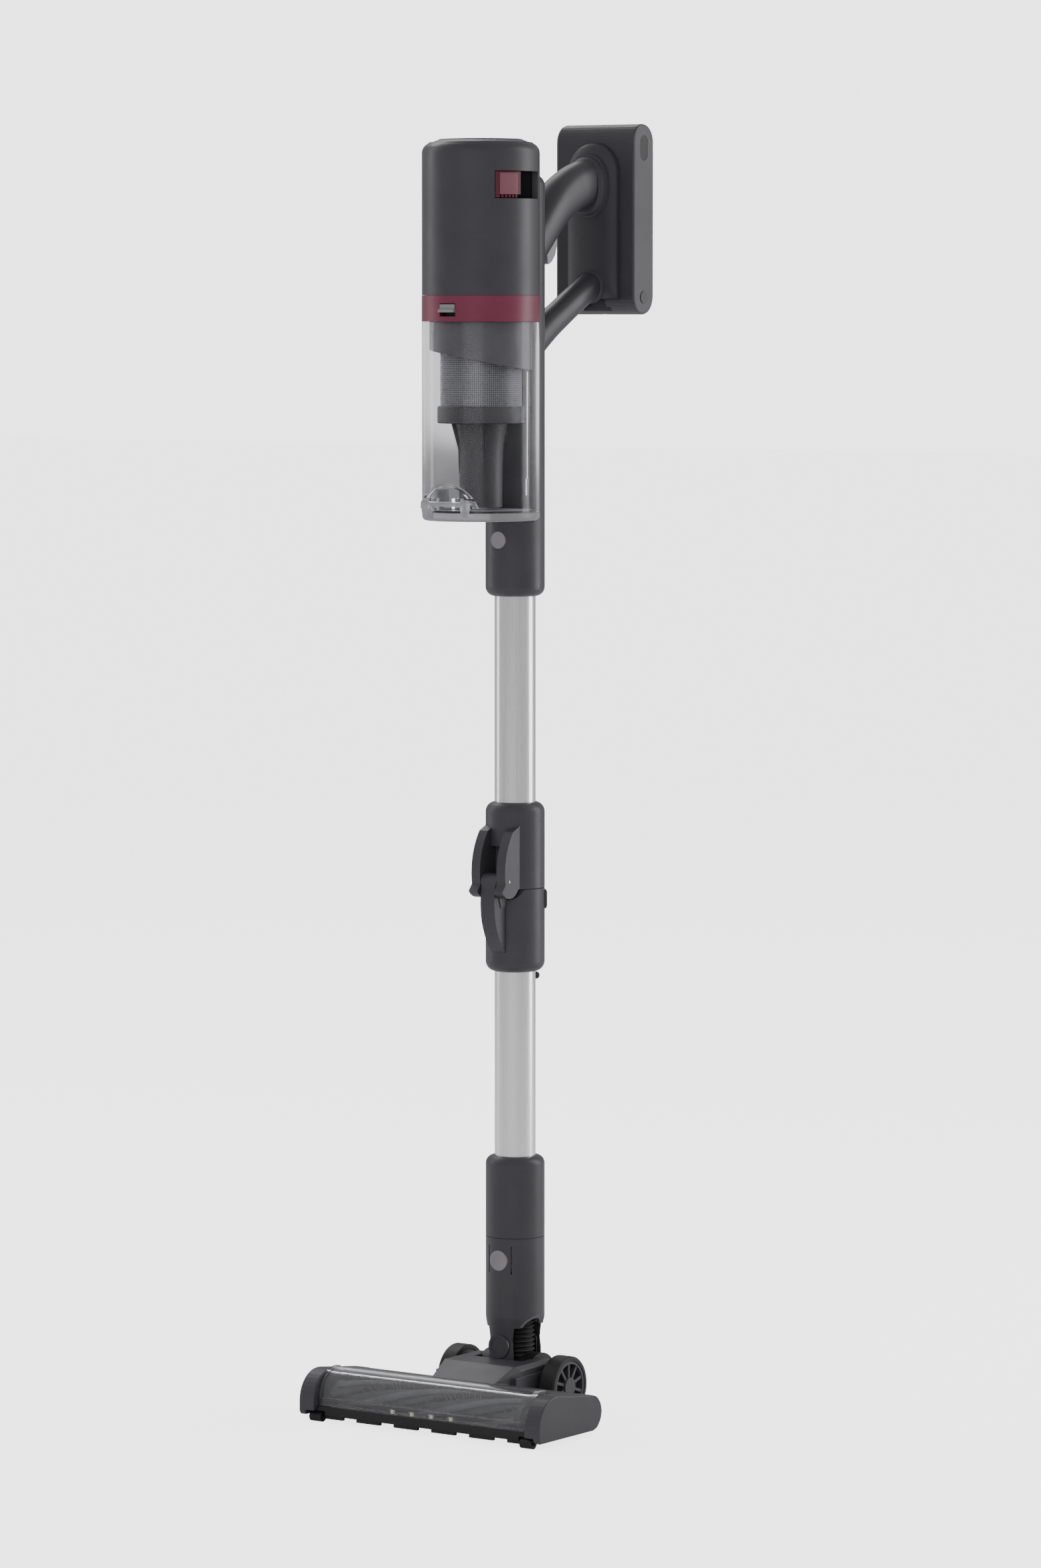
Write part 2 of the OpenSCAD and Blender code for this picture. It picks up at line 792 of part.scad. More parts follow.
// Station of the grip: a flat disc that hulls join into a bent tapering tube
module grip_disc(y, z, lean, half_w, half_h) {
  translate([0, y, z]) rotate([lean, 0, 0]) rotate([90, 0, 0])
    scale([half_w / half_h, 1, 1]) cylinder(r = half_h, h = 1, center = true, $fn = 32);
}
module grip_arm() {
  stations = [
    [18, 1016, 30, 22, 31], [36, 1023, 34, 19.5, 28], [55, 1037, 32, 17.6, 22],
    [76, 1049, 24, 16.6, 19], [98, 1056, 11, 16.2, 18.6], [grip_y1 - 0.6, 1058, 0, 16.4, 20.5]
  ];
  color(dark) placed() difference() {
    for (i = [0:len(stations) - 2])
      hull() {
        grip_disc(stations[i][0], stations[i][1], stations[i][2], stations[i][3], stations[i][4]);
        grip_disc(stations[i + 1][0], stations[i + 1][1], stations[i + 1][2],
                  stations[i + 1][3], stations[i + 1][4]);
      }
    post(collar_r + gap, 900, 1110);
    block([-40, grip_y1, 900], [40, 200, 1200]);
    block([-3.6, 40, 990], [3.6, 62, 1012]);
  }
}
module lower_brace() {
  lean = 22;
  color(dark) placed() difference() {
    union() {
      translate([0, 68, 950]) rotate([-90 + lean, 0, 0])
        cylinder(r = 10.6, h = 130, center = true);
      translate([0, 30, 935.5]) rotate([-90 + lean, 0, 0])
        cylinder(r1 = 15.5, r2 = 10.6, h = 34, center = true);
    }
    post(collar_r + gap, 860, 1110);
    block([-40, grip_y1, 800], [40, 240, 1200]);
  }
}

// Arch-topped plate that the grip and brace meet, with the battery's rail
module battery_mount() {
  plate_w = 26;
  color(dark) placed() difference() {
    union() {
      translate([0, battery_y - gap, 0]) rotate([90, 0, 0]) linear_extrude(3.2)
        polygon(concat(
          [[-plate_w, 959], [plate_w, 959]], arc([0, 1094.8 - plate_w], plate_w, 0, 180, 16)));
      block([-10, battery_y - 0.2, 975], [10, battery_y + 4.6, 1059.7]);
      block([-14, battery_y + 3.4, 975], [14, battery_y + 6, 1059.7]);
    }
    block([-5, battery_y + 4.8, 985], [5, battery_y + 8, 1000]);
  }
}
module trigger() {
  color(darker) placed() difference() {
    union() {
      block([-3.3, 43.5, 989.5], [3.3, 56, 1004]);
      translate([0, 0, 994]) translate([0, 46, 0]) bar_x(4.6, -3.3, 3.3);
    }
    translate([0, 34, 992]) bar_x(10.6, -10, 10);
  }
}

// Side outline of the battery, with fully round ends
module battery_outline(inset) {
  r = battery_t / 2 - inset;
  c = battery_y + battery_t / 2;
  polygon(concat(
    arc([c, battery_top - battery_t / 2], r, 0, 180, 16),
    arc([c, battery_z0 + battery_t / 2], r, 180, 360, 16)));
}
module battery_case() {
  wall = 2;
  x = battery_w / 2;
  mid = battery_y + battery_t / 2;
  color(dark) placed() difference() {
    hull() {
      slab_x(-x, x) battery_outline(1.8);
      slab_x(-x + 0.5, x - 0.5) battery_outline(0.5);
      slab_x(-x + 1.8, x - 1.8) battery_outline(0);
    }
    difference() {
      slab_x(-x + wall, x - wall) battery_outline(wall);
      block([-17, battery_y - 5, 930], [17, battery_y + 8.4, 1064]);
      translate([0, mid, battery_z0]) cylinder(r = jack_r + 2.75, h = jack_l);
    }
    block([-10.3, battery_y - 3, 930], [10.3, battery_y + 4, 1060]);
    block([-14.3, battery_y + 3.1, 930], [14.3, battery_y + 6.3, 1060]);
    translate([0, mid, 0]) slab_x(x - 1, x + 1)
      polygon(concat(arc([0, 1095.4], 5.9, 0, 180, 10), arc([0, 1085], 5.9, 180, 360, 10)));
    translate([0, mid, 961]) bar_x(5.4, x - 8, x + 1);
    translate([0, mid, 961]) block([x - 4, -7.4, -7.4], [x - 2, 7.4, 7.4]);
    translate([0, mid, battery_z0 - 1]) cylinder(r = jack_r, h = jack_l + 2);
  }
}
module battery_cells() {
  color([0.2, 0.45, 0.35]) placed() for (row = [0, 1])
    for (k = [0:3 - row])
      translate([-28.5 + 19 * k, battery_y + 19, 969 + 66 * row]) cylinder(r = cell_r, h = cell_l);
}
module charge_indicator() {
  x = battery_w / 2;
  color(darker) placed() translate([0, battery_y + battery_t / 2, 0])
    slab_x(x - 0.9, x - 0.2)
      polygon(concat(arc([0, 1095.4], 5.8, 0, 180, 10), arc([0, 1085], 5.8, 180, 360, 10)));
}
module battery_button() {
  x = battery_w / 2;
  color(grey) placed() translate([0, battery_y + battery_t / 2, 961]) {
    bar_x(5.3, x - 3, x + 0.6);
    bar_x(6.6, x - 5.2, x - 3.9);
    bar_x(5.3, x - 4, x - 2.9);
  }
}

sole_plate();
head_shell();
brush_window();
end_cap_left();
end_cap_right();
front_strip();
led_lenses();
brush_motor();
drive_belt();
suction_duct();
wheel_axles();
tilt_pins();
wheel_hub_left();
tyre_left();
wheel_hub_right();
tyre_right();
front_roller_left();
front_roller_right();
brush_core();
brush_bristles();
motor_pulley();
tilt_yoke();
neck_hose();
neck_tube();
swivel_pins();
neck_button();
wand_collar();
lower_tube();
elbow_lower();
elbow_pin();
storage_stud();
elbow_upper();
elbow_latch();
elbow_hose();
upper_tube();
spine_duct();
socket_button();
motor_housing();
top_cap();
lock_band();
ring_latch();
side_slider();
suction_motor();
impeller();
cyclone_shroud();
mesh_screen();
cyclone_cone();
dust_bin();
lid_latch();
bin_lid();
lid_seal();
grip_arm();
lower_brace();
battery_mount();
trigger();
battery_case();
battery_cells();
charge_indicator();
battery_button();
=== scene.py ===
"""Looks of the cordless stick vacuum: materials, finer pieces, light and camera."""
import json
import math
import random

import bmesh
import bpy
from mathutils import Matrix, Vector


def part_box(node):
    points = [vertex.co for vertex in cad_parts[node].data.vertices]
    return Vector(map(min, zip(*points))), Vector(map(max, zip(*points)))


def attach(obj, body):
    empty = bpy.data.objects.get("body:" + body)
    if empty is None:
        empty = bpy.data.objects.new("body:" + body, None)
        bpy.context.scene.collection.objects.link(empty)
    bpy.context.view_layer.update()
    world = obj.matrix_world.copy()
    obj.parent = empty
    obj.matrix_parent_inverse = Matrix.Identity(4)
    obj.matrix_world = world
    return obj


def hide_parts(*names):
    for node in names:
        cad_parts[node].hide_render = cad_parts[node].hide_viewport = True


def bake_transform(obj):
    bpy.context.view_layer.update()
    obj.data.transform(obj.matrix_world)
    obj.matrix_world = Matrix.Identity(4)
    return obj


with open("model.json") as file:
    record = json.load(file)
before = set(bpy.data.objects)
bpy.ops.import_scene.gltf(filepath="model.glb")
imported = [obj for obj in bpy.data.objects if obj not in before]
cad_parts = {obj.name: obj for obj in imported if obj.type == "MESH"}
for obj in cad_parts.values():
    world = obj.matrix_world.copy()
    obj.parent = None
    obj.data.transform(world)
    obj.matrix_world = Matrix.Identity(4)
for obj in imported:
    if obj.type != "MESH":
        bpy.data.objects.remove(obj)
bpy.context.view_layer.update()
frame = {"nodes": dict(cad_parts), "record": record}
nodes = frame["nodes"]


# ---------- places read from the frame ----------

def centre(node):
    """Middle of a CAD node's box."""
    low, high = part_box(node)
    return (low + high) / 2


MM = 0.001
WAND = Vector((centre("lower_tube").x, centre("lower_tube").y, 0))
MOTOR = Vector((centre("lock_band").x, centre("lock_band").y, 0))


# ---------- materials ----------

def new_material(name):
    """An empty node material with its shader, and a helper that adds nodes."""
    mat = bpy.data.materials.new(name)
    mat.use_nodes = True
    tree = mat.node_tree
    shader = tree.nodes["Principled BSDF"]

    def add(kind, **values):
        node = tree.nodes.new(kind)
        for key, value in values.items():
            if hasattr(node, key):
                setattr(node, key, value)
            else:
                node.inputs[key].default_value = value
        return node

    return mat, tree, shader, add


def object_coords(tree, add, scale=(1, 1, 1)):
    """Coordinates in metres, stretched by scale."""
    coords = add("ShaderNodeTexCoord")
    mapping = add("ShaderNodeMapping")
    mapping.inputs["Scale"].default_value = scale
    tree.links.new(coords.outputs["Object"], mapping.inputs["Vector"])
    return mapping.outputs["Vector"]


def ramp(tree, add, source, stops):
    """A colour ramp from (position, value or colour) stops."""
    node = add("ShaderNodeValToRGB")
    while len(node.color_ramp.elements) < len(stops):
        node.color_ramp.elements.new(0.5)
    for element, (place, value) in zip(node.color_ramp.elements, stops):
        element.position = place
        colour = (value,) * 3 if isinstance(value, (int, float)) else value
        element.color = (*colour, 1)
    tree.links.new(source, node.inputs["Fac"])
    return node.outputs["Color"]


def noise(tree, add, coords, **values):
    """A noise texture's value on the coordinates."""
    node = add("ShaderNodeTexNoise", **values)
    tree.links.new(coords, node.inputs["Vector"])
    return node.outputs["Fac"]


def drive(tree, add, shader, socket, source, low_stop, high_stop):
    """Runs a shader socket from a value, between two (position, value or colour) stops."""
    tree.links.new(ramp(tree, add, source, [low_stop, high_stop]), shader.inputs[socket])


def bump_from(tree, add, shader, height, strength, distance):
    """Bump on the shader from a height output; distance in metres."""
    bump = add("ShaderNodeBump")
    bump.inputs["Strength"].default_value = strength
    bump.inputs["Distance"].default_value = distance
    tree.links.new(height, bump.inputs["Height"])
    tree.links.new(bump.outputs["Normal"], shader.inputs["Normal"])


def shade(colour, factor):
    """A colour made darker or lighter, at most white."""
    return tuple(min(1.0, c * factor) for c in colour)


def plastic(name, colour, rough, grain=0.35, grain_scale=2600.0, mottling=0.08, glow=0.0):
    """Moulded plastic: fine spark-eroded grain, faint mottling and handling marks in its gloss."""
    mat, tree, shader, add = new_material(name)
    coords = object_coords(tree, add)
    cloud = noise(tree, add, coords, Scale=38.0, Detail=4.0, Roughness=0.6)
    drive(tree, add, shader, "Base Color", cloud,
          (0.3, shade(colour, 1 - mottling)), (0.7, shade(colour, 1 + mottling)))
    smear = noise(tree, add, coords, Scale=11.0, Detail=6.0, Roughness=0.65)
    drive(tree, add, shader, "Roughness", smear, (0.3, rough * 0.88), (0.72, rough * 1.12))
    texture = noise(tree, add, coords, Scale=grain_scale, Detail=2.0, Roughness=0.5)
    bump_from(tree, add, shader, texture, strength=grain, distance=0.00006)
    shader.inputs["Specular IOR Level"].default_value = 0.45
    shader.inputs["Emission Color"].default_value = (*colour, 1)
    shader.inputs["Emission Strength"].default_value = glow
    return mat


def clear_plastic(name, colour, rough=0.06, through=1.0, ior=1.2):
    """Smoke-tinted clear plastic with faint moulding waves."""
    mat, tree, shader, add = new_material(name)
    wave = noise(tree, add, object_coords(tree, add), Scale=24.0, Detail=3.0, Roughness=0.5)
    drive(tree, add, shader, "Base Color", wave, (0.3, shade(colour, 0.96)), (0.7, colour))
    drive(tree, add, shader, "Roughness", wave, (0.3, rough * 0.7), (0.7, rough * 1.4))
    bump_from(tree, add, shader, wave, strength=0.03, distance=0.0004)
    shader.inputs["Transmission Weight"].default_value = through
    shader.inputs["IOR"].default_value = ior
    return mat


def drawn_aluminium(name, colour, rough):
    """Anodised tube drawn along Z: fine lines along it."""
    mat, tree, shader, add = new_material(name)
    lines = object_coords(tree, add, scale=(900, 900, 6))
    streak = noise(tree, add, lines, Scale=1.0, Detail=5.0, Roughness=0.6)
    drive(tree, add, shader, "Base Color", streak, (0.3, shade(colour, 0.95)), (0.7, shade(colour, 1.03)))
    drive(tree, add, shader, "Roughness", streak, (0.3, rough * 0.85), (0.7, rough * 1.2))
    bump_from(tree, add, shader, streak, strength=0.10, distance=0.00005)
    shader.inputs["Metallic"].default_value = 0.85
    return mat


def brushed_steel(name, colour, rough):
    """Turned or ground steel: fine lines across Z."""
    mat, tree, shader, add = new_material(name)
    lines = object_coords(tree, add, scale=(300, 300, 2400))
    streak = noise(tree, add, lines, Scale=1.0, Detail=4.0, Roughness=0.7)
    drive(tree, add, shader, "Base Color", streak, (0.3, shade(colour, 0.8)), (0.7, colour))
    drive(tree, add, shader, "Roughness", streak, (0.3, rough * 0.7), (0.7, rough * 1.3))
    bump_from(tree, add, shader, streak, strength=0.2, distance=0.00005)
    shader.inputs["Metallic"].default_value = 1.0
    return mat


def rubber(name, colour, rough, shine=0.35):
    """Soft matte rubber with a dusty bloom."""
    mat, tree, shader, add = new_material(name)
    coords = object_coords(tree, add)
    bloom = noise(tree, add, coords, Scale=60.0, Detail=6.0, Roughness=0.7)
    drive(tree, add, shader, "Base Color", bloom, (0.35, colour), (0.75, shade(colour, 1.7)))
    drive(tree, add, shader, "Roughness", bloom, (0.3, rough * 0.9), (0.7, min(1.0, rough * 1.1)))
    texture = noise(tree, add, coords, Scale=1500.0, Detail=2.0)
    bump_from(tree, add, shader, texture, strength=0.3, distance=0.00008)
    shader.inputs["Specular IOR Level"].default_value = shine
    return mat


CHARCOAL = plastic("charcoal_plastic", (0.047, 0.044, 0.052), rough=0.42)
CHARCOAL_SOFT = plastic("charcoal_soft", (0.043, 0.040, 0.048), rough=0.5)
# Charcoal made darker: painted shade for the cone inside the clear bin.
CONE_PAINTED_SHADE = plastic("cone_painted_shade", (0.020, 0.019, 0.022), rough=0.5)
BLACK = plastic("black_plastic", (0.010, 0.010, 0.010), rough=0.5)
MAROON = plastic("maroon_plastic", (0.165, 0.026, 0.056), rough=0.40)
# Darker and paler copies of the maroon: painted shade on the power slider's body and a painted highlight on
# its raised face.
MAROON_PAINTED_SHADE = plastic("maroon_painted_shade", (0.095, 0.014, 0.030), rough=0.42)
MAROON_PAINTED_HIGHLIGHT = plastic("maroon_painted_highlight", (0.21, 0.075, 0.10), rough=0.40)
GREY = plastic("grey_plastic", (0.20, 0.195, 0.205), rough=0.45)
BUTTON = plastic("button_grey", (0.23, 0.22, 0.235), rough=0.38)
LATCH = plastic("latch_grey", (0.24, 0.24, 0.25), rough=0.35)
CLEAR = clear_plastic("smoky_clear", (0.80, 0.80, 0.82))
HEAD_CLEAR = clear_plastic("head_clear", (0.52, 0.52, 0.54), rough=0.05, through=0.95, ior=1.45)
LID_CLEAR = clear_plastic("lid_clear", (0.42, 0.42, 0.44), rough=0.2, through=0.5)
RIB = clear_plastic("rib_clear", (0.95, 0.95, 0.96), rough=0.15)
ALUMINIUM = drawn_aluminium("satin_aluminium", (0.96, 0.96, 0.97), rough=0.26)
STEEL = brushed_steel("steel", (0.55, 0.55, 0.56), rough=0.35)
WIRE = brushed_steel("screen_wire", (0.40, 0.40, 0.41), rough=0.32)
SCREEN_CORE = brushed_steel("screen_core", (0.13, 0.13, 0.135), rough=0.4)
RUBBER = rubber("black_rubber", (0.016, 0.016, 0.016), rough=0.5)
# Near-black and almost shineless: painted shade for the power slider's recess.
TRACK_PAINTED_SHADE = rubber("track_painted_shade", (0.004, 0.004, 0.004), rough=0.9, shine=0.04)
BRISTLE = rubber("bristle_nylon", (0.022, 0.022, 0.024), rough=0.55)
PLUSH = rubber("plush_strip", (0.09, 0.09, 0.093), rough=0.85)
BRUSH_CORE = rubber("brush_core_grey", (0.055, 0.055, 0.058), rough=0.6)
LENS = plastic("led_lens", (0.82, 0.78, 0.60), rough=0.3, grain=0.05, mottling=0.03, glow=0.15)
WRAP = plastic("cell_wrap", (0.05, 0.2, 0.13), rough=0.35, grain=0.05)

SLOT_LOOK = {
    "charcoal_plastic": CHARCOAL, "black_plastic": BLACK, "smoky_clear": CLEAR,
    "black_rubber": RUBBER, "satin_aluminium": ALUMINIUM, "steel": STEEL,
    "maroon_plastic": MAROON, "grey_plastic": GREY, "bristle_nylon": BRISTLE,
    "led_lens": LENS, "cell_wrap": WRAP,
}


def dress(obj, mat):
    """One material over the whole piece."""
    obj.data.materials.clear()
    obj.data.materials.append(mat)


for part in frame["record"]["subparts"]:
    dress(nodes[part["node"]], SLOT_LOOK[part["material_slot"]])
dress(nodes["brush_window"], HEAD_CLEAR)
dress(nodes["bin_lid"], LID_CLEAR)
dress(nodes["lid_latch"], LID_CLEAR)
for node in ("dust_bin", "bin_lid", "brush_window"):
    nodes[node].visible_shadow = False
dress(nodes["brush_core"], BRUSH_CORE)
dress(nodes["battery_button"], CHARCOAL_SOFT)
for node in ("neck_button", "socket_button"):
    dress(nodes[node], BUTTON)


# ---------- edges of the CAD nodes ----------

def soften(node, width, angle=32, segments=2):
    """Rounds the sharp edges of a CAD node and keeps its faces evenly shaded."""
    obj = nodes[node]
    merge = obj.modifiers.new("merge", "WELD")
    merge.merge_threshold = 0.01 * MM
    bevel = obj.modifiers.new("edges", "BEVEL")
    bevel.width = width
    bevel.segments = segments
    bevel.limit_method = "ANGLE"
    bevel.angle_limit = math.radians(angle)
    bevel.use_clamp_overlap = False
    even = obj.modifiers.new("shading", "WEIGHTED_NORMAL")
    even.keep_sharp = True


# radius in mm of the rounded edges
SOFT_EDGES = {
    "end_cap_left": 1.1, "end_cap_right": 1.1, "lock_band": 0.3, "wand_collar": 0.3, "elbow_latch": 0.5,
    "wheel_hub_left": 0.35, "wheel_hub_right": 0.35, "tyre_left": 0.5, "tyre_right": 0.5,
    "front_strip": 0.3, "cyclone_shroud": 0.3, "head_shell": 0.6,
}
for node, width in SOFT_EDGES.items():
    soften(node, width * MM)


# ---------- mesh helpers ----------

def smooth_by_angle(mesh, angle=34):
    """Smooth faces with the sharp edges kept sharp."""
    bm = bmesh.new()
    bm.from_mesh(mesh)
    bmesh.ops.recalc_face_normals(bm, faces=bm.faces)
    limit = math.radians(angle)
    for face in bm.faces:
        face.smooth = True
    for edge in bm.edges:
        edge.smooth = len(edge.link_faces) == 2 and edge.calc_face_angle(0) < limit
    bm.to_mesh(mesh)
    bm.free()


def mesh_piece(name, verts, faces, mat, body, slot, replaces=(), angle=34, rides=True):
    """A new piece from points and faces, on its body, with its material; the slot argument is not used."""
    mesh = bpy.data.meshes.new(name)
    mesh.from_pydata([tuple(v) for v in verts], [], faces)
    mesh.validate()
    smooth_by_angle(mesh, angle)
    obj = bpy.data.objects.new(name, mesh)
    bpy.context.scene.collection.objects.link(obj)
    dress(obj, mat)
    if rides:
        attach(obj, body)
    if replaces:
        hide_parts(*replaces)
    return obj


def bevelled(obj, width, segments=2, angle=30):
    """Rounds the sharp edges of a new piece."""
    bevel = obj.modifiers.new("edges", "BEVEL")
    bevel.width = width
    bevel.segments = segments
    bevel.limit_method = "ANGLE"
    bevel.angle_limit = math.radians(angle)
    even = obj.modifiers.new("shading", "WEIGHTED_NORMAL")
    even.keep_sharp = False


def around(axis, radius, azimuth, height):
    """Point on a cylinder about a vertical axis; azimuth in degrees from the front towards +X."""
    a = math.radians(azimuth)
    return Vector((axis.x + radius * math.sin(a), axis.y - radius * math.cos(a), height))


def swept(axis, outline, start=0.0, sweep=360.0, segments=96):
    """Points and faces of an outline of (radius, height) turned about a vertical axis."""
    full = sweep >= 360
    columns = segments if full else segments + 1
    count = len(outline)
    verts = [around(axis, r, start + sweep * k / segments, z) for k in range(columns) for r, z in outline]
    faces = []
    for k in range(segments):
        a, b = k * count, (k + 1) % columns * count
        for i in range(count):
            j = (i + 1) % count
            faces.append([a + i, a + j, b + j, b + i])
    if not full:
        faces.append(list(range(count))[::-1])
        faces.append([(columns - 1) * count + i for i in range(count)])
    return verts, faces


def joined(parts):
    """Several (points, faces) as one."""
    verts, faces = [], []
    for more_verts, more_faces in parts:
        base = len(verts)
        verts += more_verts
        faces += [[base + i for i in face] for face in more_faces]
    return verts, faces


def block_outline(r0, r1, z0, z1):
    """Rectangle from one radius and height to another, to be turned about an axis."""
    return [(r0, z0), (r1, z0), (r1, z1), (r0, z1)]


def lofted(rings):
    """Points and faces of a closed skin over rings of equal count."""
    count = len(rings[0])
    verts = [v for ring in rings for v in ring]
    faces = []
    for k in range(len(rings) - 1):
        for i in range(count):
            j = (i + 1) % count
            faces.append([k * count + i, k * count + j, (k + 1) * count + j, (k + 1) * count + i])
    faces.append(list(range(count))[::-1])
    faces.append([(len(rings) - 1) * count + i for i in range(count)])
    return verts, faces


def spline(points, steps):
    """Smooth curve through rows of numbers, steps samples for each span."""
    out = []
    last = len(points) - 1
    for k in range(last):
        p0, p1, p2, p3 = (points[max(0, min(last, k + i))] for i in (-1, 0, 1, 2))
        for s in range(steps):
            t = s / steps
            out.append([0.5 * (2 * b + (c - a) * t + (2 * a - 5 * b + 4 * c - d) * t * t
                               + (3 * b - a - 3 * c + d) * t ** 3)
                        for a, b, c, d in zip(p0, p1, p2, p3)])
    out.append(list(points[-1]))
    return out


def oval_ring(top, bottom, half_width, count=56, fullness=2.3):
    """Ring in the plane of X and the line from bottom to top, both (y, z) behind the wand in mm."""
    middle = [(a + b) / 2 for a, b in zip(top, bottom)]
    lean = [(a - b) / 2 for a, b in zip(top, bottom)]
    ring = []
    for i in range(count):
        a = 2 * math.pi * i / count
        c, s = math.cos(a), math.sin(a)
        x = half_width * math.copysign(abs(c) ** (2 / fullness), c)
        u = math.copysign(abs(s) ** (2 / fullness), s)
        ring.append(WAND + Vector((x, middle[0] + lean[0] * u, 0)) * MM
                    + Vector((0, 0, (middle[1] + lean[1] * u) * MM)))
    return ring


# ---------- grip ----------

def grip():
    """Grip arm: a bent tapering tube from the spine to the battery, with a stepped collar.

    Each station is the top (y, z), the bottom (y, z) and the half width, in mm.
    """
    stations = [
        [-4, 1008, 10, 976, 19], [14, 1025, 30, 992, 18.5], [36, 1045, 48, 1008, 17.5],
        [56, 1060.5, 66, 1022.5, 16.5], [78, 1072, 85, 1033, 15.8], [98, 1078.5, 100, 1038, 15.5],
        [115, 1081.5, 115, 1038.5, 15.5],
    ]
    rings = [oval_ring(row[0:2], row[2:4], row[4]) for row in spline(stations, 6)]
    mesh_piece("grip_arm_skin", *lofted(rings), CHARCOAL, "main_unit", "charcoal_plastic", ["grip_arm"])
    collar = [
        [104, 1078.6, 104, 1034.6, 16.4], [106, 1081, 106, 1033, 17.6], [107.5, 1082, 107.5, 1032, 18.4],
        [110, 1082.4, 110, 1031.6, 18.8], [110.6, 1084.5, 110.6, 1029.8, 20.2],
        [115.5, 1085.6, 115.5, 1028.8, 21],
    ]
    rings = [oval_ring(row[0:2], row[2:4], row[4]) for row in collar]
    mesh_piece("grip_collar", *lofted(rings), CHARCOAL_SOFT, "main_unit", "charcoal_plastic", angle=25)


def trigger():
    """Thin trigger blade under the grip's root, from an outline of (y, z) in mm."""
    half_width = 3.3
    outline = [(45, 990), (47, 989), (52, 991.5), (57, 997),
               (60, 1006), (60, 1016), (45, 1012), (43.5, 1000)]
    verts = [WAND + Vector((side * half_width, y, z)) * MM for side in (-1, 1) for y, z in outline]
    n = len(outline)
    faces = [list(range(n)), list(range(2 * n - 1, n - 1, -1))]
    faces += [[k, n + k, n + (k + 1) % n, (k + 1) % n] for k in range(n)]
    obj = mesh_piece("trigger_blade", verts, faces, LATCH, "trigger", "black_plastic", ["trigger"])
    bevelled(obj, 0.8 * MM, 3)


def brace():
    """Lower brace: a round tapering arm that flares into the spine and ends in a small collar.

    Each point of the path is y, z and radius, in mm.
    """
    path = [[13, 914.6, 15], [24, 922, 13.9], [45, 934.7, 12.8], [66, 945.8, 12.1], [87, 957.1, 11.9],
            [105, 966, 11.8], [117.5, 972, 12.2]]
    rings = []
    smooth = spline(path, 6)
    for k, (y, z, r) in enumerate(smooth):
        ahead, behind = smooth[min(k + 1, len(smooth) - 1)], smooth[max(k - 1, 0)]
        run, rise = ahead[0] - behind[0], ahead[1] - behind[1]
        norm = math.hypot(run, rise)
        up = (-rise / norm * r, run / norm * r)
        rings.append(oval_ring((y + up[0], z + up[1]), (y - up[0], z - up[1]), r, count=48, fullness=2.0))
    mesh_piece("lower_brace_skin", *lofted(rings), CHARCOAL, "main_unit", "charcoal_plastic",
               ["lower_brace"])
    rim = [[111, 984.6, 113, 957, 13.2], [112.6, 986.4, 114.6, 955.4, 14.6], [116, 988.4, 118, 956, 15.2]]
    rings = [oval_ring(row[0:2], row[2:4], row[4], count=48, fullness=2.0) for row in rim]
    mesh_piece("brace_collar", *lofted(rings), CHARCOAL_SOFT, "main_unit", "charcoal_plastic", angle=25)


def mount_column():
    """Arch-topped swelling on the battery's front plate, between the grip and the brace."""
    low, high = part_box("battery_mount")
    half = (high.x - low.x) / 2 - 0.4 * MM
    arch_z = high.z - half - 0.4 * MM
    face_y = low.y + 0.4 * MM
    depth, foot = 8.5 * MM, low.z + 0.5 * MM
    foot_curve = 22 * MM
    skin = 1.5 * MM
    columns, rows, cap_rows = 28, 18, 16
    front = []
    for k in range(rows + cap_rows + 1):
        if k <= rows:
            t = k / rows
            z = foot + (arch_z - foot) * t
            rise = 1 - min(1, (z - foot) / foot_curve)
            reach, lift = half, math.sqrt(max(0.0, 1 - rise ** 2))
        else:
            a = math.pi / 2 * (k - rows) / cap_rows
            z = arch_z + half * math.sin(a)
            reach, lift = half * math.cos(a), math.cos(a)
        row = []
        for i in range(columns + 1):
            u = -math.cos(math.pi * i / columns)
            swell = math.sqrt(max(0.0, 1 - u * u)) * lift
            row.append(Vector((WAND.x + reach * u, face_y - depth * swell, z)))
        front.append(row)
    verts = [v for row in front for v in row]
    n = len(verts)
    verts += [Vector((v.x, face_y + skin, v.z)) for v in verts]
    width = columns + 1
    faces = []
    for k in range(rows + cap_rows):
        for i in range(columns):
            a = k * width + i
            faces.append([a, a + 1, a + width + 1, a + width])
            faces.append([n + a + width, n + a + width + 1, n + a + 1, n + a])
    for k in range(rows + cap_rows):
        for i in (0, columns):
            a = k * width + i
            side = [a, a + width, n + a + width, n + a]
            faces.append(side if i else side[::-1])
    for i in range(columns):
        faces.append([n + i, n + i + 1, i + 1, i])
    mesh_piece("mount_column", verts, faces, CHARCOAL_SOFT, "main_unit", "charcoal_plastic", angle=40)


# ---------- motor unit ----------

# ends of the power slider's track, in degrees from the front towards +X
SLIDE_START, SLIDE_END = 48.3, 109.0
BAND_LOW, BAND_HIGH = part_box("lock_band")
BIN_LOW, BIN_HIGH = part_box("dust_bin")
UNIT_R = (BAND_HIGH.x - BAND_LOW.x) / 2


